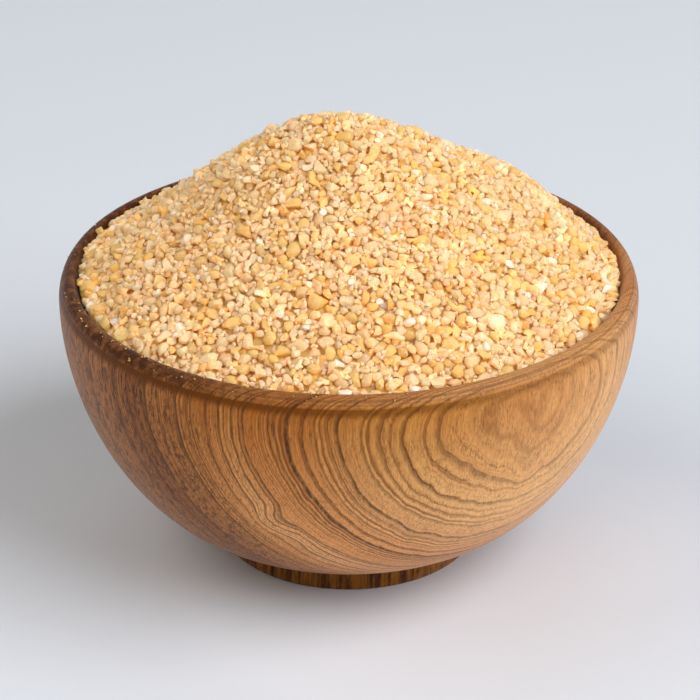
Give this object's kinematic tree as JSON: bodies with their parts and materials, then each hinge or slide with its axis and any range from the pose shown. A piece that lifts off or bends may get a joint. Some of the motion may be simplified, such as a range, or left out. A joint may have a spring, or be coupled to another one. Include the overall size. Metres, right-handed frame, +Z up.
{
  "type": "dish of broken wheat",
  "caption": "Small turned wooden bowl on a short foot, heaped well above its rim with dry broken wheat.",
  "frame": {"origin": "middle of the underside of the bowl's foot", "axes": "+Z up; -Y towards the picture's camera, +X to its right"},
  "size_m": [0.11, 0.11, 0.0863],
  "materials": {
    "wood": "satin",
    "grain": "matte"
  },
  "bodies": {
    "root": {"bowl": "wood", "broken_wheat": "grain"}
  },
  "joints": []
}
